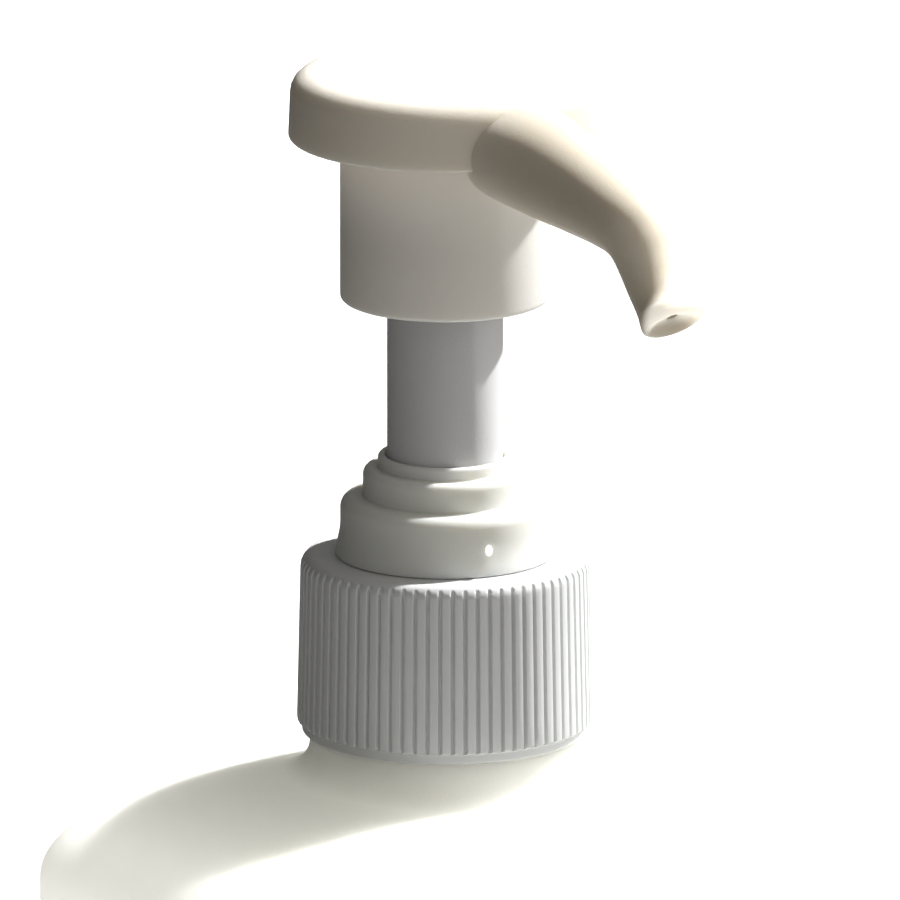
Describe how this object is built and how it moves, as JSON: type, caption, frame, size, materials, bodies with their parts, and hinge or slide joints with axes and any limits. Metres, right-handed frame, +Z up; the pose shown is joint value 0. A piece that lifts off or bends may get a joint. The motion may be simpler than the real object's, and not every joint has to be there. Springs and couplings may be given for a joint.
{
  "type": "condiment pump dispenser",
  "caption": "White screw-on condiment pump with a round head, bent flared spout, stepped collar and ribbed closure on a wide oval bottle.",
  "frame": {"origin": "centre of the bottle's flat base", "axes": "+Z up along the pump's axis, -Y the way the spout points, X the bottle's wide way"},
  "size_m": [0.114, 0.1054, 0.2768],
  "materials": {
    "bottle_plastic": "milky translucent polyethylene, satin",
    "closure_plastic": "moulded white polypropylene, satin",
    "head_plastic": "moulded warm white polypropylene, satin",
    "sleeve_plastic": "thin translucent white polypropylene, satin",
    "inner_plastic": "natural polypropylene",
    "seal_plastic": "soft natural polyethylene",
    "ball_glass": "polished glass check ball",
    "spring_steel": "bright spring wire"
  },
  "bodies": {
    "bottle": {"bottle": "bottle_plastic"},
    "pump_body": {"pump_housing": "inner_plastic", "collar": "head_plastic", "neck_gasket": "seal_plastic", "inlet_cage": "inner_plastic", "dip_tube": "inner_plastic", "return_spring": "spring_steel"},
    "closure": {"closure": "closure_plastic"},
    "plunger": {"piston_seal": "seal_plastic"},
    "head": {"actuator_head": "head_plastic", "skirt_sleeve": "sleeve_plastic", "stem": "head_plastic", "piston_core": "inner_plastic", "outlet_cage": "inner_plastic"},
    "outlet_ball": {"outlet_ball": "ball_glass"},
    "inlet_ball": {"inlet_ball": "ball_glass"}
  },
  "joints": [
    {"name": "pump_lift", "type": "slide", "parent": "bottle", "child": "pump_body", "axis": [0, 0, 1], "range_m": [0, 0.00635]},
    {"name": "closure_turn", "type": "hinge", "parent": "pump_body", "child": "closure", "pos_m": [0, 0, 0.18], "axis": [0, 0, 1], "range_deg": [0, 540]},
    {"name": "pump_stroke", "type": "slide", "parent": "pump_body", "child": "plunger", "axis": [0, 0, -1], "range_m": [0, 0.027], "stiffness_N_per_m": 250, "springref_m": -0.03, "deforming": ["return_spring"]},
    {"name": "head_swivel", "type": "hinge", "parent": "plunger", "child": "head", "pos_m": [0, 0, 0.18], "axis": [0, 0, 1], "continuous": true},
    {"name": "outlet_lift", "type": "slide", "parent": "head", "child": "outlet_ball", "axis": [0, 0, 1], "range_m": [0, 0.0018]},
    {"name": "inlet_lift", "type": "slide", "parent": "pump_body", "child": "inlet_ball", "axis": [0, 0, 1], "range_m": [0, 0.002]}
  ],
  "couplings": [
    {"joint": "pump_lift", "follows": "closure_turn", "m_per_rad": 0.0006737}
  ]
}
